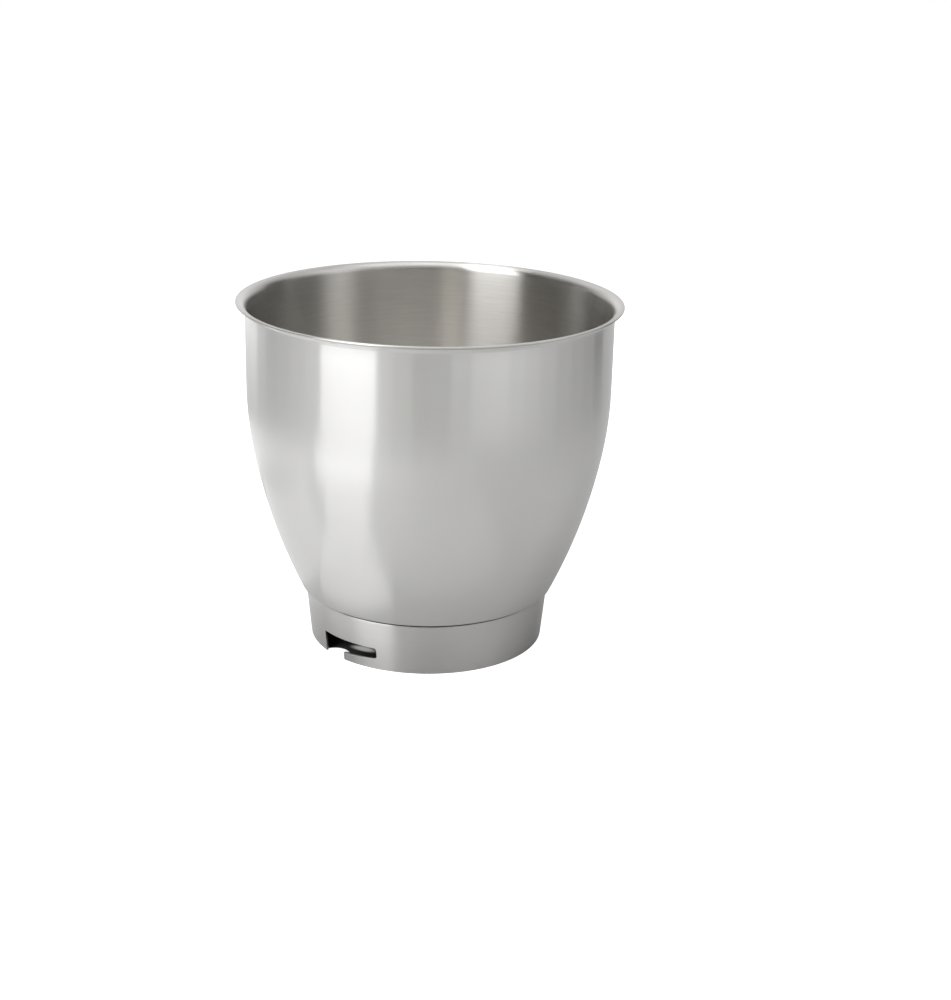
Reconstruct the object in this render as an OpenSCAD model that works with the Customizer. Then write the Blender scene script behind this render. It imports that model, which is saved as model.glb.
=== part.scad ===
// Stainless steel mixing bowl of a stand mixer: a deep drawn bowl with a flared rim, standing on a
// welded collar whose two bayonet slots lock it to the base of the mixer.
// Millimetres, +Z up. The origin is on the bowl's axis, in the plane that the collar stands on.

/* [Rim] */
// Outer diameter of the flared rim
rim_diameter = 220; // [180:1:260]
// How far the rim stands out from the straight wall
rim_width = 5.25; // [5:0.05:8]
// Radius of the bend on the underside of the rim
rim_bend_radius = 4; // [2:0.5:5]

/* [Bowl] */
// Height of the whole bowl, from the standing plane to the top of the rim
total_height = 201; // [185:1:230]
// Thickness of the drawn bowl sheet
bowl_sheet = 0.8; // [0.6:0.1:1.4]
// Height at which the straight wall starts to curve in
curve_start_height = 152.6; // [140:0.2:170]
// Radius of the short arc that leads out of the straight wall
shoulder_radius = 212; // [180:1:260]
// Angle of the short arc
shoulder_angle = 10.3; // [6:0.1:14]
// Radius of the long arc from the short one down to the floor
belly_radius = 327; // [300:1:380]
// Outer radius of the corner between wall and floor
corner_radius = 2.4; // [1.6:0.1:6]

/* [Floor] */
// Radius of the circle where the raised centre of the floor begins
kick_radius = 45; // [30:1:58]
// Height of the raised centre above the flat ring around it
kick_height = 5; // [2:0.5:9]
// Radius of the bend at the foot of the raised centre
kick_bend_radius = 20; // [5:1:40]

/* [Collar] */
// Height of the collar, which is where the floor rests on it
collar_height = 31.1; // [26:0.1:36]
// How much smaller the radius of the collar is at its lower edge than at its top
collar_taper = 3; // [0:0.1:5]
// How far the collar's upper edge is set back from the corner of the bowl
collar_setback = 0.6; // [0.2:0.1:3]
// Thickness of the collar sheet
collar_sheet = 1.2; // [0.8:0.1:2]
// Outer radius of the bend at the top of the collar
collar_bend_radius = 1.8; // [1.5:0.1:3]
// Width of the flange that carries the floor, from the collar's outside inwards
flange_width = 8; // [5:0.5:14]

/* [Bayonet slots] */
// Number of bayonet slots
slot_count = 2; // [1:1:4]
// Angle from the front of the bowl to the middle of the first slot, seen from above
slot_angle = -40; // [-180:1:180]
// Length of a slot from end to end
slot_length = 39.4; // [30:0.2:48]
// Height of a slot's upper edge above the standing plane
slot_top = 13.1; // [11:0.1:18]
// Width of the open entry at the left of a slot
entry_width = 16.2; // [10:0.2:18]
// Height of the hook that closes the rest of a slot from below
hook_height = 6.8; // [5:0.1:8]
// Corner radius at the closed end of a slot
slot_corner_radius = 1.6; // [0.6:0.1:2]
// Corner radius of the hook's free end
hook_corner_radius = 2.2; // [0.6:0.1:2.4]

/* [Hidden] */
$fn = 180;

// Outer radius of the straight wall
wall_radius = rim_diameter / 2 - rim_width;
// Height of the underside of the flat rim
rim_underside = total_height - bowl_sheet;
// Centres of the arcs, in the plane of radius and height
rim_bend_centre = [wall_radius + rim_bend_radius, rim_underside - rim_bend_radius];
shoulder_centre = [wall_radius - shoulder_radius, curve_start_height];
belly_centre = shoulder_centre
    + (shoulder_radius - belly_radius) * [cos(shoulder_angle), -sin(shoulder_angle)];
// Angle below the horizontal at which the long arc meets the corner bend
belly_end_angle = asin((belly_centre[1] - corner_radius - collar_height) / (belly_radius - corner_radius));
corner_centre = belly_centre
    + (belly_radius - corner_radius) * [cos(belly_end_angle), -sin(belly_end_angle)];
// The raised centre is a cap whose radius and bend radius add up to this
kick_radii = (kick_radius * kick_radius + kick_height * kick_height) / (2 * kick_height);
kick_angle = asin(kick_radius / kick_radii);
kick_bend_centre = [kick_radius, collar_height + kick_bend_radius];
kick_cap_radius = kick_radii - kick_bend_radius;
kick_cap_centre = [0, kick_bend_centre[1] - kick_radii * cos(kick_angle)];

// The collar's outside at its top, and the lean of its wall
collar_top_radius = corner_centre[0] - collar_setback;
collar_bottom_radius = collar_top_radius - collar_taper;
collar_lean = atan(collar_taper / collar_height);
collar_bend_height = collar_height - collar_bend_radius;
collar_bend_centre = [
    collar_bottom_radius + collar_bend_height * tan(collar_lean) - collar_bend_radius / cos(collar_lean),
    collar_bend_height
];
// A little more than any cut needs, so that it passes right through
cut_margin = 1;

// Points on an arc about centre, from one angle to another
function arc_points(centre, radius, from, to, steps) = [
    for (i = [0:steps])
        let (angle = from + (to - from) * i / steps)
            centre + radius * [cos(angle), sin(angle)]
];

// The points in the opposite order
function reversed(points) = [for (i = [len(points) - 1:-1:0]) points[i]];

// One side of the bowl's sheet from the rim to the axis. The depth is 0 on the outside of the bowl
// and the sheet's thickness on the inside.
function bowl_side(depth) = concat(
    [[rim_diameter / 2, rim_underside + depth]],
    arc_points(rim_bend_centre, rim_bend_radius + depth, 90, 180, 10),
    arc_points(shoulder_centre, shoulder_radius - depth, 0, -shoulder_angle, 7),
    arc_points(belly_centre, belly_radius - depth, -shoulder_angle, -belly_end_angle, 14),
    arc_points(corner_centre, corner_radius - depth, -belly_end_angle, -90, 8),
    arc_points(kick_bend_centre, kick_bend_radius - depth, -90, -90 - kick_angle, 4),
    arc_points(kick_cap_centre, kick_cap_radius + depth, 90 - kick_angle, 90, 8)
);

// One side of the collar's sheet from its lower edge to the inner edge of its flange
function collar_side(depth) = concat(
    [[collar_bottom_radius - depth / cos(collar_lean), 0]],
    arc_points(collar_bend_centre, collar_bend_radius - depth, -collar_lean, 90, 8),
    [[collar_top_radius - flange_width, collar_height - depth]]
);

// Outline of one bayonet slot as seen from outside: an entry that is open below at the left, the
// round free end of the hook, and a channel above the hook that ends in round corners at the right
module slot_outline() {
    end = slot_length / 2;
    hook_end = entry_width - end + hook_corner_radius;
    channel_end = end - slot_corner_radius;
    polygon(concat(
        [[-end, -cut_margin], [hook_end, -cut_margin]],
        arc_points([hook_end, hook_corner_radius], hook_corner_radius, 270, 180, 6),
        arc_points([hook_end, hook_height - hook_corner_radius], hook_corner_radius, 180, 90, 6),
        arc_points([channel_end, hook_height + slot_corner_radius], slot_corner_radius, -90, 0, 5),
        arc_points([channel_end, slot_top - slot_corner_radius], slot_corner_radius, 0, 90, 5),
        [[-end, slot_top]]
    ));
}

// The drawn bowl: one sheet from the rim's edge to the middle of the floor
module bowl_shell() {
    color("silver")
        rotate_extrude()
            polygon(concat(bowl_side(0), reversed(bowl_side(bowl_sheet))));
}

// The collar: a pressed ring, punched with the bayonet slots from outside
module base_collar() {
    color("darkgray")
        difference() {
            rotate_extrude()
                polygon(concat(collar_side(0), reversed(collar_side(collar_sheet))));
            for (i = [0:slot_count - 1])
                rotate([0, 0, slot_angle + i * 360 / slot_count])
                    rotate([90, 0, 0])
                        linear_extrude(height = collar_top_radius + cut_margin)
                            slot_outline();
        }
}

bowl_shell();
base_collar();
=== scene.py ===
# %% [markdown]
# # Stand mixer bowl
# The object is a deep stainless steel bowl with a flared rim. It stands on a collar of thicker sheet
# that has two L-shaped bayonet slots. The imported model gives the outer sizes. This script gives both
# pieces a finer surface and their brushed steel, and builds a small white studio round them.

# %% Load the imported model
import math

import bpy
import numpy as np
from mathutils import Matrix, Vector


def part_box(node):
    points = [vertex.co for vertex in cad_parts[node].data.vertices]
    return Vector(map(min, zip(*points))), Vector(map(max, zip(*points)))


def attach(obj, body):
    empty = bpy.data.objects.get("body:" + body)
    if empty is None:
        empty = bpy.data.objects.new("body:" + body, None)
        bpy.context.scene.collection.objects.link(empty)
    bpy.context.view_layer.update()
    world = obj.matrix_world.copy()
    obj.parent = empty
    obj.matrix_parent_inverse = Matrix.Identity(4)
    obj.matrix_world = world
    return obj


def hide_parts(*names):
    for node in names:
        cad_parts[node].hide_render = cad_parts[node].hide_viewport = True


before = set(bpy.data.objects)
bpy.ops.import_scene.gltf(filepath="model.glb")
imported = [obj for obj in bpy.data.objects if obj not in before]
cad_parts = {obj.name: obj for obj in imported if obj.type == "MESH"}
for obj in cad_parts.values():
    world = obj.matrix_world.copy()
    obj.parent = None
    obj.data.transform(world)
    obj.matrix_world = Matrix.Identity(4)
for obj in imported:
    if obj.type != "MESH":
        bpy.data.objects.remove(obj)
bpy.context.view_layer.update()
MM = 0.001
bowl_low, bowl_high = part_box("bowl_shell")
collar_low, collar_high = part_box("base_collar")
print("bowl from", [round(v, 4) for v in bowl_low], "to", [round(v, 4) for v in bowl_high])
print("collar from", [round(v, 4) for v in collar_low], "to", [round(v, 4) for v in collar_high])

# %% [markdown]
# ## The sizes of the sheet metal
# A pressed or spun bowl is one sheet that follows a single line from the rim to the middle of the
# floor. The sizes below are those of the tools that form it. Heights and the two main radii come
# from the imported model, so the looks stay on it. The rest repeats the construction.

# %% Sizes
rim_radius = bowl_high.x
total_height = bowl_high.z
floor_height = bowl_low.z
bowl_sheet = 0.8 * MM
rim_width = 5.25 * MM
rim_bend_radius = 4.0 * MM
curve_start_height = 152.6 * MM
shoulder_radius = 212.0 * MM
shoulder_angle = math.radians(10.3)
belly_radius = 327.0 * MM
corner_radius = 2.4 * MM
kick_radius = 45.0 * MM
kick_height = 5.0 * MM
kick_bend_radius = 20.0 * MM
wall_radius = rim_radius - rim_width
print("wall radius", round(wall_radius, 5), "floor at", round(floor_height, 5))

# %% [markdown]
# ## Arcs as arrays
# The line of the sheet is made of tangent arcs. One helper gives the points of an arc, in the plane
# of radius and height. Modelling the line by hand with a spline would also work, but arcs are what
# the forming tools have, and they keep the reflections even.

# %% Arc helper
def arc_points(centre, radius, start, end, steps):
    """Points on a circle: the centre plus the radius times the cosine and sine of an angle that
    runs evenly from start to end."""
    angle = np.linspace(start, end, steps + 1)
    return np.stack([centre[0] + radius * np.cos(angle), centre[1] + radius * np.sin(angle)], -1)


def line_points(first, last, steps):
    """Points between two ends, evenly spaced, without the two ends themselves."""
    share = np.linspace(0.0, 1.0, steps + 1)[1:-1, None]
    return np.asarray(first) * (1.0 - share) + np.asarray(last) * share


# %% [markdown]
# ## The line of the bowl's sheet
# From the rim inwards: a flat edge, the bend of the rim, the straight wall, a short arc, the long
# arc of the belly, the tight corner, the flat ring that the collar carries, and the raised centre
# that stiffens the floor. Each arc keeps its centre, and the inside of the sheet has the same
# centres with radii that differ by the sheet's thickness.

# %% Bowl profile
half_turn = math.pi
quarter_turn = math.pi / 2
rim_underside = total_height - bowl_sheet
rim_bend_centre = (wall_radius + rim_bend_radius, rim_underside - rim_bend_radius)
shoulder_centre = (wall_radius - shoulder_radius, curve_start_height)
belly_centre = (
    shoulder_centre[0] + (shoulder_radius - belly_radius) * math.cos(shoulder_angle),
    shoulder_centre[1] - (shoulder_radius - belly_radius) * math.sin(shoulder_angle),
)
belly_reach = belly_radius - corner_radius
belly_end_angle = math.asin((belly_centre[1] - corner_radius - floor_height) / belly_reach)
corner_centre = (
    belly_centre[0] + belly_reach * math.cos(belly_end_angle),
    belly_centre[1] - belly_reach * math.sin(belly_end_angle),
)
kick_radii = (kick_radius ** 2 + kick_height ** 2) / (2 * kick_height)
kick_angle = math.asin(kick_radius / kick_radii)
kick_bend_centre = (kick_radius, floor_height + kick_bend_radius)
kick_cap_radius = kick_radii - kick_bend_radius
kick_cap_centre = (0.0, kick_bend_centre[1] - kick_radii * math.cos(kick_angle))
BEND_STEPS = 14
WALL_STEPS = 8
SHOULDER_STEPS = 10
BELLY_STEPS = 26
CORNER_STEPS = 10
RING_STEPS = 6
KICK_BEND_STEPS = 6
CAP_STEPS = 12
EDGE_STEPS = 6


def bowl_side(depth):
    """One side of the sheet from the rim to the axis. Depth is 0 on the outside and the sheet's
    thickness on the inside: arcs about a centre inside the bowl lose it, the others gain it."""
    bend = arc_points(rim_bend_centre, rim_bend_radius + depth, quarter_turn, half_turn, BEND_STEPS)
    shoulder = arc_points(
        shoulder_centre, shoulder_radius - depth, 0.0, -shoulder_angle, SHOULDER_STEPS
    )
    belly = arc_points(
        belly_centre, belly_radius - depth, -shoulder_angle, -belly_end_angle, BELLY_STEPS
    )
    corner = arc_points(
        corner_centre, corner_radius - depth, -belly_end_angle, -quarter_turn, CORNER_STEPS
    )
    kick_end = -quarter_turn - kick_angle
    kick_bend = arc_points(
        kick_bend_centre, kick_bend_radius - depth, -quarter_turn, kick_end, KICK_BEND_STEPS
    )
    cap_start = quarter_turn - kick_angle
    cap = arc_points(kick_cap_centre, kick_cap_radius + depth, cap_start, quarter_turn, CAP_STEPS)
    return np.concatenate([
        bend,
        line_points(bend[-1], shoulder[0], WALL_STEPS),
        shoulder,
        belly[1:],
        corner[1:],
        line_points(corner[-1], kick_bend[0], RING_STEPS),
        kick_bend,
        cap[1:],
    ])


edge_radius = bowl_sheet / 2
edge_centre = (rim_radius - edge_radius, total_height - edge_radius)
rim_edge = arc_points(edge_centre, edge_radius, -quarter_turn, quarter_turn, EDGE_STEPS)
outside_line = bowl_side(0.0)
inside_line = bowl_side(bowl_sheet)
bowl_line = np.concatenate([outside_line[::-1], rim_edge, inside_line])
print("points along the bowl's line:", len(bowl_line))

# %% [markdown]
# ## Turning the line into a bowl
# The line runs from the axis under the floor, up the outside, over the rim and down the inside to
# the axis again. Turning it about the axis gives a closed skin. A Screw modifier could do it, but an
# array keeps control of the poles, the normals and the map that the brushing follows.

# %% Mesh helpers
def distance_along(points):
    """Length of the line up to each of its points: the running sum of the steps between them."""
    steps = np.linalg.norm(np.diff(points, axis=0), axis=1)
    return np.concatenate([[0.0], np.cumsum(steps)])


def mesh_from_arrays(name, vertices, faces, face_map):
    """A mesh from vertex places, faces and one map coordinate for each face corner."""
    mesh = bpy.data.meshes.new(name)
    mesh.from_pydata(vertices.tolist(), [], faces)
    layer = mesh.uv_layers.new(name="along_and_around")
    layer.data.foreach_set("uv", np.asarray(face_map, np.float32).ravel())
    mesh.shade_smooth()
    mesh.validate()
    piece = bpy.data.objects.new(name, mesh)
    bpy.context.scene.collection.objects.link(piece)
    return piece


def revolve(name, line, columns):
    """Every point of the line goes round the axis in even steps: x is the radius times the cosine
    of the turn, y the radius times its sine, z the height. The first and last points lie on the
    axis and are one vertex each. The map's u is the length along the line and v the turn."""
    turn = np.arange(columns) * (2 * math.pi / columns)
    ring = line[1:-1]
    x = ring[:, 0, None] * np.cos(turn)
    y = ring[:, 0, None] * np.sin(turn)
    z = np.repeat(ring[:, 1, None], columns, axis=1)
    body = np.stack([x, y, z], -1).reshape(-1, 3)
    poles = np.array([[0.0, 0.0, line[0, 1]], [0.0, 0.0, line[-1, 1]]])
    vertices = np.concatenate([body, poles])
    rows = len(ring)
    row, column = np.meshgrid(np.arange(rows - 1), np.arange(columns), indexing="ij")
    after = (column + 1) % columns
    quads = np.stack([row * columns + column, row * columns + after,
                      (row + 1) * columns + after, (row + 1) * columns + column], -1).reshape(-1, 4)
    column_0 = np.arange(columns)
    after_0 = (column_0 + 1) % columns
    first_pole = rows * columns
    bottom = np.stack([np.full(columns, first_pole), after_0, column_0], -1)
    last_row = (rows - 1) * columns
    top = np.stack([np.full(columns, first_pole + 1), last_row + column_0, last_row + after_0], -1)
    along = distance_along(line)
    u_row, v_column = along[1:-1][row], column / columns
    u_next = along[1:-1][row + 1]
    v_next = v_column + 1.0 / columns
    quad_map = np.stack([
        np.stack([u_row, v_column], -1), np.stack([u_row, v_next], -1),
        np.stack([u_next, v_next], -1), np.stack([u_next, v_column], -1),
    ], -2).reshape(-1, 2)
    v_0 = column_0 / columns
    v_1 = v_0 + 1.0 / columns
    ones = np.ones(columns)
    bottom_map = np.stack([
        np.stack([ones * along[0], v_0], -1), np.stack([ones * along[1], v_1], -1),
        np.stack([ones * along[1], v_0], -1),
    ], -2).reshape(-1, 2)
    top_map = np.stack([
        np.stack([ones * along[-1], v_0], -1), np.stack([ones * along[-2], v_0], -1),
        np.stack([ones * along[-2], v_1], -1),
    ], -2).reshape(-1, 2)
    faces = quads.tolist() + bottom.tolist() + top.tolist()
    return mesh_from_arrays(name, vertices, faces, np.concatenate([quad_map, bottom_map, top_map]))


# %% Bowl mesh
BOWL_COLUMNS = 360
bowl = revolve("brushed_bowl", bowl_line, BOWL_COLUMNS)
outside_rows = len(outside_line) + len(rim_edge) // 2
inside_faces = np.zeros(len(bowl.data.polygons), np.int32)
quad_rows = np.repeat(np.arange(len(bowl_line) - 3), BOWL_COLUMNS)
inside_faces[:len(quad_rows)] = (quad_rows >= outside_rows - 1).astype(np.int32)
inside_faces[-BOWL_COLUMNS:] = 1
print("bowl faces:", len(bowl.data.polygons), "of them inside:", int(inside_faces.sum()))

# %% [markdown]
# ## The collar
# The collar is a ring of thicker sheet. Its wall leans inwards towards the table, and at the top it
# is bent in to a flange that the floor of the bowl is welded to. Two slots are punched from outside.
# Cutting them with a Boolean would leave long thin faces that shade badly. Here the ring is a grid
# whose columns and rows run along the sides of each slot, and whose points near the round corners
# are moved onto them.

# %% Collar sizes
collar_sheet = 1.2 * MM
collar_height = collar_high.z
collar_setback = 0.6 * MM
collar_taper = 3.0 * MM
collar_bend_radius = 1.8 * MM
flange_width = 8.0 * MM
slot_angles = [math.radians(-40.0), math.radians(140.0)]
slot_length = 39.4 * MM
slot_top = 13.1 * MM
entry_width = 16.2 * MM
hook_height = 6.8 * MM
hook_fall = 1.8 * MM
slot_corner_radius = 1.6 * MM
hook_corner_radius = 1.0 * MM
collar_top_radius = corner_centre[0] - collar_setback
collar_bottom_radius = collar_top_radius - collar_taper
collar_lean = math.atan(collar_taper / collar_height)
collar_bend_height = collar_height - collar_bend_radius
collar_bend_centre = (
    collar_bottom_radius + collar_bend_height * math.tan(collar_lean)
    - collar_bend_radius / math.cos(collar_lean),
    collar_bend_height,
)
print("collar radius at the table", round(collar_bottom_radius, 5))
print("collar radius at the bowl", round(collar_top_radius, 5))

# %% Collar line
slot_end = slot_length / 2
hook_tip = entry_width - slot_end
CELL = 0.34 * MM
WIDE_CELL = 1.5 * MM
COLLAR_BEND_STEPS = 8
FLANGE_STEPS = 6


def spaced(first, last, cell):
    """Even steps of about one cell from first up to, but not including, last."""
    count = max(1, int(round((last - first) / cell)))
    return first + (last - first) * np.arange(count) / count


def collar_side(depth):
    """One side of the collar's sheet from the table to the inner edge of the flange: rows of a
    cell's height past the slots, wider ones above, then the bend and the flange."""
    foot = collar_bottom_radius - depth / math.cos(collar_lean)
    bend = arc_points(
        collar_bend_centre, collar_bend_radius - depth, -collar_lean, quarter_turn, COLLAR_BEND_STEPS
    )
    heights = np.concatenate([
        spaced(0.0, hook_height, CELL), spaced(hook_height, slot_top, CELL),
        spaced(slot_top, bend[0, 1], WIDE_CELL),
    ])
    wall = np.stack([foot + heights * math.tan(collar_lean), heights], -1)
    flange_end = (collar_top_radius - flange_width, collar_height - depth)
    flange = line_points(bend[-1], flange_end, FLANGE_STEPS)
    return np.concatenate([wall, bend, flange, [flange_end]])


collar_outside = collar_side(0.0)
collar_inside = collar_side(collar_sheet)
print("points along the collar's line:", len(collar_outside))

# %% [markdown]
# ## The shape of a slot
# A signed distance says how far a point is from the slot's edge: below zero inside the slot and
# above zero in the metal. It is built from boxes, some with round corners, joined by taking the
# lesser distance, with the hook then kept out by taking the greater. The hook's upper edge falls
# towards its tip, so that the lug slides in easily and is drawn tight.

# %% Slot distance
FAR = 20 * MM
PROBE = 0.01 * MM
SNAP_ROUNDS = 3
SMALLEST_SLOPE = 1e-6


def box_distance(x, z, low_x, high_x, low_z, high_z, corner):
    """Signed distance to a box with round corners: the distance to the box that is smaller by the
    corner's radius on each side, less that radius."""
    dx = np.abs(x - (low_x + high_x) / 2) - (high_x - low_x) / 2 + corner
    dz = np.abs(z - (low_z + high_z) / 2) - (high_z - low_z) / 2 + corner
    outside = np.hypot(np.maximum(dx, 0.0), np.maximum(dz, 0.0))
    return outside + np.minimum(np.maximum(dx, dz), 0.0) - corner


def fall_at(x):
    """How far the hook's upper edge has fallen: nothing at the closed end, the most at the tip."""
    return hook_fall * np.clip((slot_end - x) / (slot_end - hook_tip), 0.0, 1.0)


def slot_distance(x, z):
    """Signed distance to one slot: the entry joined to the channel, without the hook. Heights that
    have the fall added to them turn the hook's sloping edge into a level one."""
    from_hook = z + fall_at(x)
    entry = box_distance(x, z, -slot_end, hook_tip + hook_corner_radius, -FAR, slot_top, 0.0)
    upper = box_distance(x, z, -slot_end - FAR, slot_end, 0.0, slot_top, slot_corner_radius)
    lower = box_distance(x, from_hook, -slot_end - FAR, slot_end, hook_height, FAR, slot_corner_radius)
    channel = np.maximum(np.maximum(upper, lower), -slot_end - x)
    top_left = box_distance(x, z, -slot_end, 0.0, hook_height, slot_top, 0.0)
    hook = box_distance(x, from_hook, hook_tip, slot_end + FAR, -FAR, hook_height, hook_corner_radius)
    return np.maximum(np.minimum(np.minimum(entry, channel), top_left), -hook)


def follow_hook(x, z):
    """Heights of the grid's rows at x: those below the hook's edge are pressed together by its
    fall, and those from there to the slot's upper edge are spread."""
    fall = fall_at(x)
    below = z * (1.0 - fall / hook_height)
    above = slot_top - (slot_top - z) * (1.0 + fall / (slot_top - hook_height))
    return np.where(z < hook_height, below, np.where(z < slot_top, above, z))


def snap_to_slot(x, z, reach):
    """Points nearer to the slot's edge than reach move onto it, along the slope of the distance."""
    for _ in range(SNAP_ROUNDS):
        distance = slot_distance(x, z)
        slope_x = (slot_distance(x + PROBE, z) - slot_distance(x - PROBE, z)) / (2 * PROBE)
        slope_z = (slot_distance(x, z + PROBE) - slot_distance(x, z - PROBE)) / (2 * PROBE)
        length = np.maximum(np.hypot(slope_x, slope_z), SMALLEST_SLOPE)
        near = np.abs(distance) < reach
        x = np.where(near, x - distance * slope_x / length, x)
        z = np.where(near & (z > 0), z - distance * slope_z / length, z)
    return x, z


# %% [markdown]
# ## The collar's grid
# The grid's columns are close together across each slot and wide between them. Across a slot a
# column stays at one distance from the slot's middle, as the punch does, although the ring is wider
# higher up.

# %% Collar columns
SLOT_MARGIN = 2.6 * MM
WIDE_TURN = math.radians(1.5)
SNAP_REACH = 0.49 * CELL
MARGIN_ABOVE_SLOT = 2 * MM
mid_height = slot_top / 2
mid_radius = collar_bottom_radius + mid_height * math.tan(collar_lean)
across = np.concatenate([
    spaced(-slot_end - SLOT_MARGIN, -slot_end, CELL), spaced(-slot_end, hook_tip, CELL),
    spaced(hook_tip, slot_end, CELL), spaced(slot_end, slot_end + SLOT_MARGIN, CELL),
    [slot_end + SLOT_MARGIN],
])
slot_columns = np.arcsin(across / mid_radius)
gap_start = slot_columns[-1]
gap_end = math.pi + slot_columns[0]
gap_columns = spaced(gap_start, gap_end, WIDE_TURN)[1:]
half_ring = np.concatenate([slot_columns, gap_columns])
is_slot_column = np.concatenate([np.ones(len(slot_columns), bool), np.zeros(len(gap_columns), bool)])
print("columns in half the collar:", len(half_ring))


def ring_points(line, first_angle, columns, slotted, outer_x=None, outer_z=None):
    """Points of half the ring. A slotted column lies at x from the slot's middle, so its turn is
    the arc sine of x over the radius. The others keep their turn at every height."""
    heights = np.repeat(line[:, 1, None], len(columns), axis=1)
    x = np.repeat((mid_radius * np.sin(columns))[None, :], len(line), axis=0)
    wall_rows = line[:, 1] < slot_top + MARGIN_ABOVE_SLOT
    if outer_x is None:
        outer_x, outer_z = x.copy(), heights.copy()
        rows = np.ix_(wall_rows, slotted)
        sloped = follow_hook(x[rows], heights[rows])
        outer_x[rows], outer_z[rows] = snap_to_slot(x[rows], sloped, SNAP_REACH)
    moved = outer_z - heights
    radius = line[:, 0, None] + np.where(wall_rows[:, None], moved * math.tan(collar_lean), 0.0)
    turn = np.where(slotted[None, :], np.arcsin(np.clip(outer_x / radius, -1, 1)), columns[None, :])
    angle = first_angle + turn
    place = np.stack([radius * np.sin(angle), -radius * np.cos(angle), heights + moved], -1)
    return place, outer_x, outer_z


# %% Collar mesh
def collar_mesh(name):
    """Two skins, the outside and the inside of the sheet, as grids that go once round. Cells whose
    middle lies in a slot are left out, and each edge that only one cell of a skin has is closed
    with a face from skin to skin."""
    outer, inner, in_slot = [], [], []
    rows = len(collar_outside)
    for angle in slot_angles:
        place, x, z = ring_points(collar_outside, angle, half_ring, is_slot_column)
        outer.append(place)
        inner.append(ring_points(collar_inside, angle, half_ring, is_slot_column, x, z)[0])
        x_all = np.concatenate([x, x[:, :1]], axis=1)
        z_all = np.concatenate([z, z[:, :1]], axis=1)
        mid_x = (x_all[:-1, :-1] + x_all[1:, :-1] + x_all[:-1, 1:] + x_all[1:, 1:]) / 4
        mid_z = (z_all[:-1, :-1] + z_all[1:, :-1] + z_all[:-1, 1:] + z_all[1:, 1:]) / 4
        slotted = is_slot_column & np.roll(is_slot_column, -1)
        in_slot.append((slot_distance(mid_x, mid_z) < 0) & slotted[None, :])
    outer, inner = np.concatenate(outer, axis=1), np.concatenate(inner, axis=1)
    keep = ~np.concatenate(in_slot, axis=1)
    columns = outer.shape[1]
    row, column = np.nonzero(keep)
    after = (column + 1) % columns
    quads = np.stack([row * columns + column, row * columns + after,
                      (row + 1) * columns + after, (row + 1) * columns + column], -1)
    offset = rows * columns
    edges = np.concatenate([quads[:, [0, 1]], quads[:, [1, 2]], quads[:, [2, 3]], quads[:, [3, 0]]])
    keys = np.sort(edges, axis=1)
    _, first, count = np.unique(keys[:, 0] * offset + keys[:, 1], return_index=True, return_counts=True)
    border = edges[first[count == 1]]
    rim = np.stack([border[:, 1], border[:, 0], border[:, 0] + offset, border[:, 1] + offset], -1)
    faces = np.concatenate([quads, quads[:, ::-1] + offset, rim])
    along = distance_along(collar_outside)
    turn = np.arctan2(outer[0, :, 1], outer[0, :, 0]) / (2 * math.pi)
    u = np.tile(np.repeat(along, columns), 2)
    v = np.tile(np.tile(turn, rows), 2)
    corner_v = v[faces]
    corner_v = np.where(corner_v - corner_v.max(axis=1, keepdims=True) < -0.5, corner_v + 1.0, corner_v)
    face_map = np.stack([u[faces], corner_v], -1).reshape(-1, 2)
    vertices = np.concatenate([outer.reshape(-1, 3), inner.reshape(-1, 3)])
    used = np.zeros(len(vertices), bool)
    used[faces.ravel()] = True
    renumber = np.cumsum(used) - 1
    return mesh_from_arrays(name, vertices[used], renumber[faces].tolist(), face_map)


EDGE_BREAK = 0.4 * MM
EDGE_SEGMENTS = 3
SHARP_ANGLE = math.radians(50.0)
collar = collar_mesh("slotted_collar")
collar_bevel = collar.modifiers.new("broken edges", "BEVEL")
collar_bevel.width = EDGE_BREAK
collar_bevel.segments = EDGE_SEGMENTS
collar_bevel.limit_method = "ANGLE"
collar_bevel.angle_limit = SHARP_ANGLE
collar_bevel.harden_normals = True
print("collar faces:", len(collar.data.polygons))

# %% [markdown]
# ## Brushed steel
# The bowl is brushed while it spins, so its scratches run round it. Such a surface spreads a
# reflection across the scratches, up and down the wall, and hardly along them: a soft lamp becomes
# an upright band. The principled shader does this with its anisotropy, whose direction comes from
# the map made above. Fine noise that is stretched round the bowl adds the scratches themselves.

# %% Steel material
SCRATCH_DETAIL = 4.0
SCRATCH_ROUGHNESS = 0.65
CLOUD_SCALE = 14.0
CLOUD_DETAIL = 2.0
CLOUD_LOW = 0.3
CLOUD_HIGH = 0.7


def add_node(tree, kind, **settings):
    """One shader node with its settings."""
    node = tree.nodes.new(kind)
    for key, value in settings.items():
        setattr(node, key, value)
    return node


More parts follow.
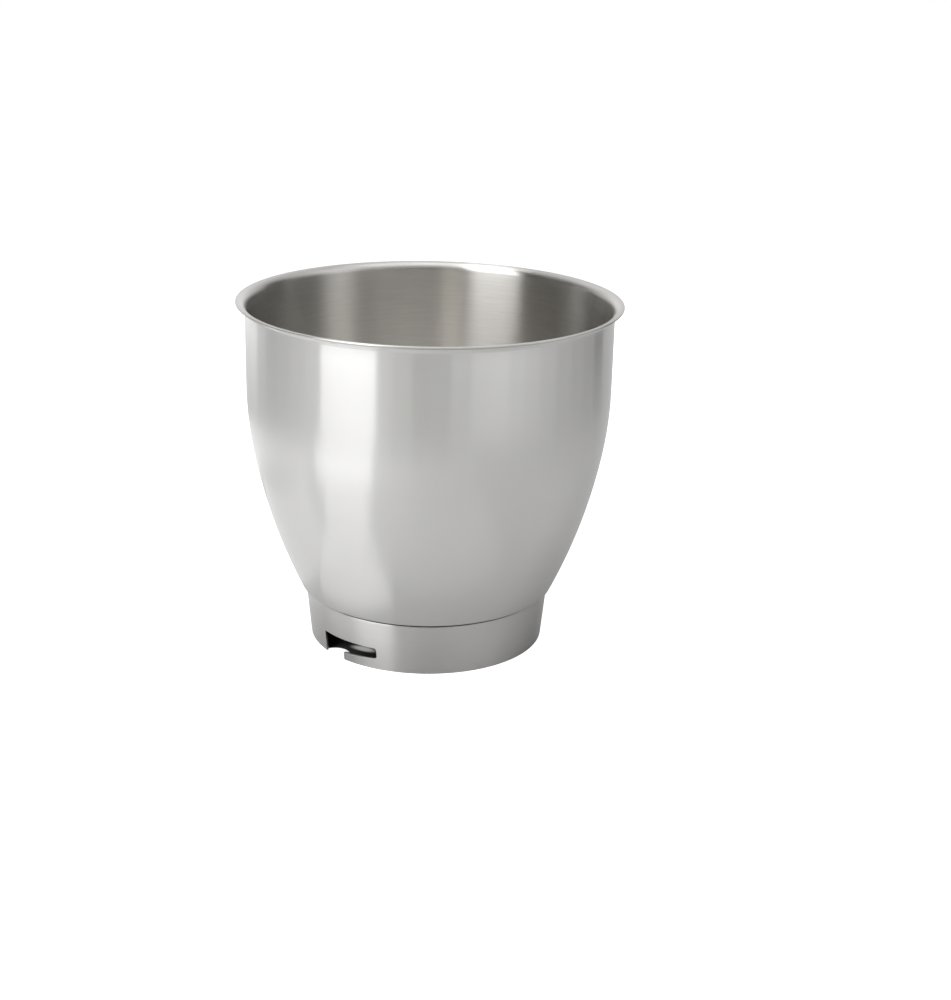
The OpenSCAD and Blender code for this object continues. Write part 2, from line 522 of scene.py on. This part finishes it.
def steel(name, colour, smoothest, roughest, scratch_width, scratch_length, scratch_depth, streak):
    """Steel whose scratches follow the turning direction. The turn's cosine and sine give a noise
    that has no join, and the length along the line gives it its fineness."""
    material = bpy.data.materials.new(name)
    material.use_nodes = True
    tree = material.node_tree
    tree.nodes.clear()
    link = tree.links.new
    output = add_node(tree, "ShaderNodeOutputMaterial")
    shader = add_node(tree, "ShaderNodeBsdfPrincipled")
    shader.inputs["Metallic"].default_value = 1.0
    shader.inputs["Anisotropic"].default_value = 1.0
    tangent = add_node(tree, "ShaderNodeTangent", direction_type="UV_MAP", uv_map="along_and_around")
    link(tangent.outputs["Tangent"], shader.inputs["Tangent"])
    place = add_node(tree, "ShaderNodeTexCoord")
    flat = add_node(tree, "ShaderNodeVectorMath", operation="MULTIPLY")
    flat.inputs[1].default_value = (1.0, 1.0, 0.0)
    link(place.outputs["Object"], flat.inputs[0])
    turn = add_node(tree, "ShaderNodeVectorMath", operation="NORMALIZE")
    link(flat.outputs["Vector"], turn.inputs[0])
    stretch = add_node(tree, "ShaderNodeVectorMath", operation="SCALE")
    stretch.inputs["Scale"].default_value = wall_radius / scratch_length
    link(turn.outputs["Vector"], stretch.inputs[0])
    map_place = add_node(tree, "ShaderNodeUVMap", uv_map="along_and_around")
    parts = add_node(tree, "ShaderNodeSeparateXYZ")
    link(map_place.outputs["UV"], parts.inputs["Vector"])
    fine = add_node(tree, "ShaderNodeMath", operation="MULTIPLY")
    fine.inputs[1].default_value = 1.0 / scratch_width
    link(parts.outputs["X"], fine.inputs[0])
    lift = add_node(tree, "ShaderNodeCombineXYZ")
    link(fine.outputs["Value"], lift.inputs["Z"])
    where = add_node(tree, "ShaderNodeVectorMath", operation="ADD")
    link(stretch.outputs["Vector"], where.inputs[0])
    link(lift.outputs["Vector"], where.inputs[1])
    scratches = add_node(tree, "ShaderNodeTexNoise")
    scratches.inputs["Scale"].default_value = 1.0
    scratches.inputs["Detail"].default_value = SCRATCH_DETAIL
    scratches.inputs["Roughness"].default_value = SCRATCH_ROUGHNESS
    link(where.outputs["Vector"], scratches.inputs["Vector"])
    clouds = add_node(tree, "ShaderNodeTexNoise")
    clouds.inputs["Scale"].default_value = CLOUD_SCALE
    clouds.inputs["Detail"].default_value = CLOUD_DETAIL
    link(place.outputs["Object"], clouds.inputs["Vector"])
    tone = add_node(tree, "ShaderNodeMix", data_type="RGBA")
    tone.inputs["A"].default_value = (*[c * (1.0 - streak) for c in colour], 1.0)
    tone.inputs["B"].default_value = (*[min(1.0, c * (1.0 + streak)) for c in colour], 1.0)
    link(scratches.outputs["Fac"], tone.inputs["Factor"])
    link(tone.outputs["Result"], shader.inputs["Base Color"])
    rough = add_node(tree, "ShaderNodeMapRange")
    rough.inputs["From Min"].default_value = CLOUD_LOW
    rough.inputs["From Max"].default_value = CLOUD_HIGH
    rough.inputs["To Min"].default_value = smoothest
    rough.inputs["To Max"].default_value = roughest
    link(clouds.outputs["Fac"], rough.inputs["Value"])
    link(rough.outputs["Result"], shader.inputs["Roughness"])
    bump = add_node(tree, "ShaderNodeBump")
    bump.inputs["Strength"].default_value = 1.0
    bump.inputs["Distance"].default_value = scratch_depth
    link(scratches.outputs["Fac"], bump.inputs["Height"])
    link(bump.outputs["Normal"], shader.inputs["Normal"])
    link(shader.outputs["BSDF"], output.inputs["Surface"])
    return material


outside_colour = (0.64, 0.637, 0.625)
# The inside is the same steel as the outside, but its colour is paler and warmer: painted light that
# the soft boxes don't give.
painted_lighter_inside_colour = (0.753, 0.738, 0.712)
collar_colour = (0.58, 0.575, 0.565)
satin_outside = steel(
    "satin_outside", outside_colour, smoothest=0.19, roughest=0.21,
    scratch_width=0.5 * MM, scratch_length=60 * MM, scratch_depth=0.004 * MM, streak=0.03,
)
brushed_inside_painted_lighter = steel(
    "brushed_inside_painted_lighter", painted_lighter_inside_colour, smoothest=0.28, roughest=0.30,
    scratch_width=0.8 * MM, scratch_length=22 * MM, scratch_depth=0.05 * MM, streak=0.12,
)
collar_steel = steel(
    "collar_steel", collar_colour, smoothest=0.29, roughest=0.32,
    scratch_width=0.5 * MM, scratch_length=30 * MM, scratch_depth=0.01 * MM, streak=0.05,
)
print("steels:", satin_outside.name, brushed_inside_painted_lighter.name, collar_steel.name)

# %% [markdown]
# ## The seam
# Where the bowl meets its collar there is a narrow crevice. Its shade is painted on both pieces:
# a fine dull dark line all round. The length along each line says how near a point is to it.

# %% Painted crevice shade
SEAM_REACH = 2.05 * MM
SEAM_FADE = 0.2 * MM
# Painted shade: the colour of the crevice's shadow.
PAINTED_SEAM_SHADE = (0.02, 0.02, 0.02, 1.0)


def paint_seam_shade(material, seam):
    """Within reach of the seam, which is a length along the line, the steel gives way to a dull
    dark surface: painted shade that stands in for the shadow in the crevice."""
    tree = material.node_tree
    link = tree.links.new
    shader = tree.nodes["Principled BSDF"]
    tone = shader.inputs["Base Color"].links[0].from_socket
    rough = shader.inputs["Roughness"].links[0].from_socket
    along = tree.nodes["Separate XYZ"].outputs["X"]
    past_seam = add_node(tree, "ShaderNodeMath", operation="SUBTRACT")
    past_seam.inputs[1].default_value = seam
    link(along, past_seam.inputs[0])
    from_seam = add_node(tree, "ShaderNodeMath", operation="ABSOLUTE")
    link(past_seam.outputs["Value"], from_seam.inputs[0])
    outside_seam_shade = add_node(tree, "ShaderNodeMapRange", interpolation_type="SMOOTHSTEP")
    outside_seam_shade.inputs["From Min"].default_value = SEAM_REACH - SEAM_FADE
    outside_seam_shade.inputs["From Max"].default_value = SEAM_REACH + SEAM_FADE
    link(from_seam.outputs["Value"], outside_seam_shade.inputs["Value"])
    shaded = add_node(tree, "ShaderNodeMix", data_type="RGBA")
    shaded.inputs["A"].default_value = PAINTED_SEAM_SHADE
    link(tone, shaded.inputs["B"])
    dull = add_node(tree, "ShaderNodeMix", data_type="FLOAT")
    dull.inputs["A"].default_value = 1.0
    link(rough, dull.inputs["B"])
    link(outside_seam_shade.outputs["Result"], shaded.inputs["Factor"])
    link(outside_seam_shade.outputs["Result"], dull.inputs["Factor"])
    link(outside_seam_shade.outputs["Result"], shader.inputs["Metallic"])
    link(shaded.outputs["Result"], shader.inputs["Base Color"])
    link(dull.outputs["Result"], shader.inputs["Roughness"])


corner_end = np.argmin(np.abs(bowl_line[:len(outside_line), 0] - corner_centre[0]))
bowl_seam = distance_along(bowl_line)[corner_end]
collar_seam = distance_along(collar_outside)[np.argmax(collar_outside[:, 1])]
paint_seam_shade(satin_outside, bowl_seam)
paint_seam_shade(collar_steel, collar_seam)
bowl.data.materials.append(satin_outside)
bowl.data.materials.append(brushed_inside_painted_lighter)
bowl.data.polygons.foreach_set("material_index", inside_faces)
collar.data.materials.append(collar_steel)
print("materials:", [m.name for m in bpy.data.materials])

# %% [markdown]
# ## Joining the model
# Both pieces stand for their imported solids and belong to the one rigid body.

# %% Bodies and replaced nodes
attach(bowl, "root")
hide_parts("bowl_shell")
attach(collar, "root")
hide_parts("base_collar")

# %% [markdown]
# ## The camera
# The camera looks down on the bowl from the front. Its distance, height and lens come from fitting
# the circles of the rim, the seam and the collar to the picture.

# %% Camera
CAMERA_DISTANCE = 1.0
CAMERA_ELEVATION = math.radians(18.345)
CAMERA_ROLL = math.radians(1.346)
CAMERA_AIM = Vector((0.02797, -0.00583, 0.08292))
FOCAL_PIXELS = 1703.8
LONG_SIDE_PIXELS = 1000
SENSOR_MM = 36.0
middle = Vector((0.0, 0.0, total_height / 2))
away_from_bowl = Vector((0.0, -math.cos(CAMERA_ELEVATION), math.sin(CAMERA_ELEVATION)))
camera_place = middle + CAMERA_DISTANCE * away_from_bowl
camera_data = bpy.data.cameras.new("camera")
camera_data.sensor_width = SENSOR_MM
camera_data.lens = FOCAL_PIXELS * SENSOR_MM / LONG_SIDE_PIXELS
camera = bpy.data.objects.new("camera", camera_data)
bpy.context.scene.collection.objects.link(camera)
look = (CAMERA_AIM - camera_place).to_track_quat("-Z", "Y").to_matrix().to_4x4()
camera.matrix_world = Matrix.Translation(camera_place) @ look @ Matrix.Rotation(CAMERA_ROLL, 4, "Z")
bpy.context.scene.camera = camera
print("lens", round(camera_data.lens, 2), "mm")

# %% [markdown]
# ## The studio
# Polished and brushed metal shows nothing but its surroundings, so each band on the steel is a lamp
# or the dark between two lamps. The bowl stands on a pale matt floor inside a ring of soft lamps.
# The floor is lit by the same lamps and lights the lower walls from below.

# %% Floor
FLOOR_PALE = 0.8
# Painted shade under the bowl, a painted pool of light at each slot's entry and a painted streak of
# light behind each channel.
FLOOR_PAINTED_SHADE = 0.1
PAINTED_ENTRY_LIGHT_PLACE = (53.0 * MM, 43.0 * MM, 0.0)
PAINTED_ENTRY_LIGHT_REACH = 8.5 * MM
EDGE_BLUR = 0.8 * MM
PAINTED_STREAK_PLACE = (36.5 * MM, 35.5 * MM, 0.0)
PAINTED_STREAK_TURN = (0.0, 0.0, math.radians(-29.0))
PAINTED_STREAK_SIZE = (6.5 * MM, 2.6 * MM, 1.0)
PAINTED_STREAK_GLOW = 0.32
PAINTED_STREAK_CORE = 0.5
PAINTED_STREAK_END = 1.6


def floor_material():
    """A pale matt floor, lit by the lamps. The camera sees an extra glow on it, as an overexposed
    white table has. Inside the collar the glow ends and the floor is painted dark, as painted shade
    under the bowl. The exceptions are a round painted pool of light at each slot's entry and a dim
    painted streak of light behind its channel, which glows for the camera alone. No lamp throws them."""
    material = bpy.data.materials.new("pale_floor")
    material.use_nodes = True
    tree = material.node_tree
    shader = tree.nodes["Principled BSDF"]
    shader.inputs["Roughness"].default_value = 1.0
    shader.inputs["Specular IOR Level"].default_value = 0.0
    shader.inputs["Emission Color"].default_value = (1.0, 1.0, 1.0, 1.0)
    place = add_node(tree, "ShaderNodeTexCoord")
    away = add_node(tree, "ShaderNodeVectorMath", operation="LENGTH")
    tree.links.new(place.outputs["Object"], away.inputs[0])
    outside = add_node(tree, "ShaderNodeMapRange", interpolation_type="SMOOTHSTEP")
    outside.inputs["From Min"].default_value = collar_bottom_radius - collar_sheet - EDGE_BLUR
    outside.inputs["From Max"].default_value = collar_bottom_radius - collar_sheet
    tree.links.new(away.outputs["Value"], outside.inputs["Value"])
    folded = add_node(tree, "ShaderNodeVectorMath", operation="ABSOLUTE")
    tree.links.new(place.outputs["Object"], folded.inputs[0])
    to_entry = add_node(tree, "ShaderNodeVectorMath", operation="DISTANCE")
    to_entry.inputs[1].default_value = PAINTED_ENTRY_LIGHT_PLACE
    tree.links.new(folded.outputs["Vector"], to_entry.inputs[0])
    painted_light_patch = add_node(tree, "ShaderNodeMapRange", interpolation_type="SMOOTHSTEP")
    painted_light_patch.inputs["From Min"].default_value = PAINTED_ENTRY_LIGHT_REACH + EDGE_BLUR
    painted_light_patch.inputs["From Max"].default_value = PAINTED_ENTRY_LIGHT_REACH - EDGE_BLUR
    tree.links.new(to_entry.outputs["Value"], painted_light_patch.inputs["Value"])
    open_floor = add_node(tree, "ShaderNodeMath", operation="MAXIMUM")
    tree.links.new(outside.outputs["Result"], open_floor.inputs[0])
    tree.links.new(painted_light_patch.outputs["Result"], open_floor.inputs[1])
    paint = add_node(tree, "ShaderNodeMix", data_type="RGBA")
    paint.inputs["A"].default_value = (FLOOR_PAINTED_SHADE, FLOOR_PAINTED_SHADE, FLOOR_PAINTED_SHADE, 1.0)
    paint.inputs["B"].default_value = (FLOOR_PALE, FLOOR_PALE, FLOOR_PALE, 1.0)
    tree.links.new(open_floor.outputs["Value"], paint.inputs["Factor"])
    tree.links.new(paint.outputs["Result"], shader.inputs["Base Color"])
    painted_streak_place = add_node(tree, "ShaderNodeMapping", vector_type="TEXTURE")
    painted_streak_place.inputs["Location"].default_value = PAINTED_STREAK_PLACE
    painted_streak_place.inputs["Rotation"].default_value = PAINTED_STREAK_TURN
    painted_streak_place.inputs["Scale"].default_value = PAINTED_STREAK_SIZE
    tree.links.new(folded.outputs["Vector"], painted_streak_place.inputs["Vector"])
    from_streak = add_node(tree, "ShaderNodeVectorMath", operation="LENGTH")
    tree.links.new(painted_streak_place.outputs["Vector"], from_streak.inputs[0])
    streak = add_node(tree, "ShaderNodeMapRange", interpolation_type="SMOOTHSTEP")
    streak.inputs["From Min"].default_value = PAINTED_STREAK_END
    streak.inputs["From Max"].default_value = PAINTED_STREAK_CORE
    streak.inputs["To Max"].default_value = PAINTED_STREAK_GLOW
    tree.links.new(from_streak.outputs["Value"], streak.inputs["Value"])
    lit = add_node(tree, "ShaderNodeMath", operation="MAXIMUM")
    tree.links.new(open_floor.outputs["Value"], lit.inputs[0])
    tree.links.new(streak.outputs["Result"], lit.inputs[1])
    seen = add_node(tree, "ShaderNodeLightPath")
    glow = add_node(tree, "ShaderNodeMath", operation="MULTIPLY")
    tree.links.new(seen.outputs["Is Camera Ray"], glow.inputs[0])
    tree.links.new(lit.outputs["Value"], glow.inputs[1])
    tree.links.new(glow.outputs["Value"], shader.inputs["Emission Strength"])
    return material


FLOOR_HALF = 40.0
floor_mesh = bpy.data.meshes.new("floor")
floor_corners = [(-FLOOR_HALF, -FLOOR_HALF, 0), (FLOOR_HALF, -FLOOR_HALF, 0),
                 (FLOOR_HALF, FLOOR_HALF, 0), (-FLOOR_HALF, FLOOR_HALF, 0)]
floor_mesh.from_pydata(floor_corners, [], [(0, 1, 2, 3)])
floor = bpy.data.objects.new("floor", floor_mesh)
bpy.context.scene.collection.objects.link(floor)
floor_mesh.materials.append(floor_material())

# %% [markdown]
# ## The lamps
# Three walls of soft boxes stand round the bowl, one above the other, because each height of the
# bowl's wall mirrors another height of the room. The tall bright boxes at the left front make the
# bright band outside and the bright strip inside. Short cards near the bowl and on the floor light
# the belly and the collar, and three boxes overhead light the inside. A picture of a real studio on
# the world would do the same, but lamps with a size, a place and a strength say what each band is.

# %% Lamps
WIDEST_PANEL = 12.0
WALL_DISTANCE = 0.9
CARD_DISTANCE = 0.3
LOW, MIDDLE, HIGH = (0.0, 0.25), (0.25, 0.7), (0.7, 1.5)
CARD = (0.0, 0.05)
FLOOR_CARD_LIFT = 2 * MM
OVERHEAD_SIZE = (0.45, 1.2)
OVERHEAD_STEP = 0.45
OVERHEAD_HEIGHT = 1.5
WHITE = (1.0, 1.0, 1.0)
WARM = (1.0, 1.0, 0.7)


def soft_panel(name, size, place, turn, tilt, brightness, colour=WHITE):
    """One flat soft box. Its power is pi times its area for each unit of brightness."""
    data = bpy.data.lights.new(name, "AREA")
    data.shape = "RECTANGLE"
    data.size, data.size_y = size
    data.energy = brightness * math.pi * size[0] * size[1]
    data.color = colour
    lamp = bpy.data.objects.new(name, data)
    lamp.location = place
    lamp.rotation_euler = (tilt, 0.0, turn)
    lamp.visible_camera = False
    bpy.context.scene.collection.objects.link(lamp)


def light_wall(name, first, last, heights, starts, ends, colour=WHITE, distance=WALL_DISTANCE):
    """Upright soft boxes side by side on a circle round the bowl, from one angle to another. The
    angles are in degrees to the right of the camera, and the heights in metres. The brightness
    runs evenly from where the wall starts to where it ends."""
    low, high = heights
    count = math.ceil((last - first) / WIDEST_PANEL)
    step = math.radians(last - first) / count
    width = 2 * distance * math.tan(step / 2)
    for i in range(count):
        turn = math.radians(first) + (i + 0.5) * step
        brightness = starts + (ends - starts) * (i + 0.5) / count
        place = (distance * math.sin(turn), -distance * math.cos(turn), (low + high) / 2)
        soft_panel(f"{name}_{i}", (width, high - low), place, turn, quarter_turn, brightness, colour)


def floor_card(name, size, distance, angle, brightness):
    """A soft box that lies on the floor beside the bowl and shines up at its lower wall."""
    turn = math.radians(angle)
    place = (distance * math.sin(turn), -distance * math.cos(turn), FLOOR_CARD_LIFT)
    soft_panel(name, size, place, turn, half_turn, brightness)


light_wall("key_low", -64.5, -30.0, LOW, 2.1, 2.1)
light_wall("key_middle", -64.5, -29.0, MIDDLE, 2.4, 2.4)
light_wall("key_high", -66.0, -29.0, HIGH, 4.3, 4.3)
light_wall("front_left_low", -30.0, 0.0, LOW, 1.0, 0.5)
light_wall("front_right_low", 0.0, 36.0, LOW, 0.5, 1.3)
light_wall("right_low", 36.0, 66.0, LOW, 1.3, 0.7)
light_wall("far_right_low", 66.0, 114.0, LOW, 0.7, 0.2)
light_wall("back_right_low", 126.0, 180.0, LOW, 0.4, 0.6)
light_wall("back_left_low", 180.0, 236.0, LOW, 0.85, 1.5)
light_wall("left_low", 236.0, 260.0, LOW, 0.9, 0.4)
light_wall("beside_key_low", 260.0, 295.5, LOW, 0.55, 1.0)
light_wall("warm_strip", -19.0, -9.0, MIDDLE, 0.4, 0.4, WARM)
light_wall("front_right_middle", 30.0, 54.0, MIDDLE, 0.15, 0.25)
light_wall("right_middle", 54.0, 78.0, MIDDLE, 0.6, 0.6)
light_wall("far_right_middle", 78.0, 114.0, MIDDLE, 0.1, 0.2)
light_wall("back_right_middle", 138.0, 180.0, MIDDLE, 0.4, 0.85)
light_wall("back_left_middle", 180.0, 222.0, MIDDLE, 0.95, 0.5)
light_wall("left_middle", 222.0, 246.0, MIDDLE, 0.25, 0.05)
light_wall("front_high", -30.0, 54.0, HIGH, 0.2, 0.6)
light_wall("right_high", 54.0, 102.0, HIGH, 1.0, 1.1)
light_wall("far_right_high", 102.0, 150.0, HIGH, 0.7, 0.6)
light_wall("back_high", 150.0, 222.0, HIGH, 0.6, 1.0)
light_wall("left_high", 222.0, 272.0, HIGH, 0.5, 0.2)
light_wall("key_card", -64.5, -30.0, CARD, 1.0, 1.0, WHITE, CARD_DISTANCE)
light_wall("front_card", -30.0, 24.0, CARD, 0.35, 0.1, WHITE, CARD_DISTANCE)
light_wall("left_card", 210.0, 295.5, CARD, 0.4, 0.4, WHITE, CARD_DISTANCE)
floor_card("key_floor_card", (0.10, 0.16), 0.17, -47.0, 0.32)
floor_card("left_floor_card", (0.26, 0.14), 0.17, -105.0, 0.27)
floor_card("front_floor_card", (0.20, 0.12), 0.17, 5.0, 0.09)
soft_panel("overhead_left", OVERHEAD_SIZE, (-OVERHEAD_STEP, 0.0, OVERHEAD_HEIGHT), 0.0, 0.0, 2.5)
soft_panel("overhead_middle", OVERHEAD_SIZE, (0.0, 0.0, OVERHEAD_HEIGHT), 0.0, 0.0, 1.7)
soft_panel("overhead_right", OVERHEAD_SIZE, (OVERHEAD_STEP, 0.0, OVERHEAD_HEIGHT), 0.0, 0.0, 1.4)

# %% [markdown]
# ## The white behind the bowl
# The world is white to the camera only, so it fills the picture past the floor and adds no light.

# %% World
world = bpy.data.worlds.new("studio")
bpy.context.scene.world = world
world.use_nodes = True
tree = world.node_tree
seen = add_node(tree, "ShaderNodeLightPath")
tree.nodes["Background"].inputs["Color"].default_value = (1.0, 1.0, 1.0, 1.0)
tree.links.new(seen.outputs["Is Camera Ray"], tree.nodes["Background"].inputs["Strength"])
bpy.context.scene.view_settings.view_transform = "Standard"
bpy.context.scene.view_settings.look = "None"
print("world:", world.name)
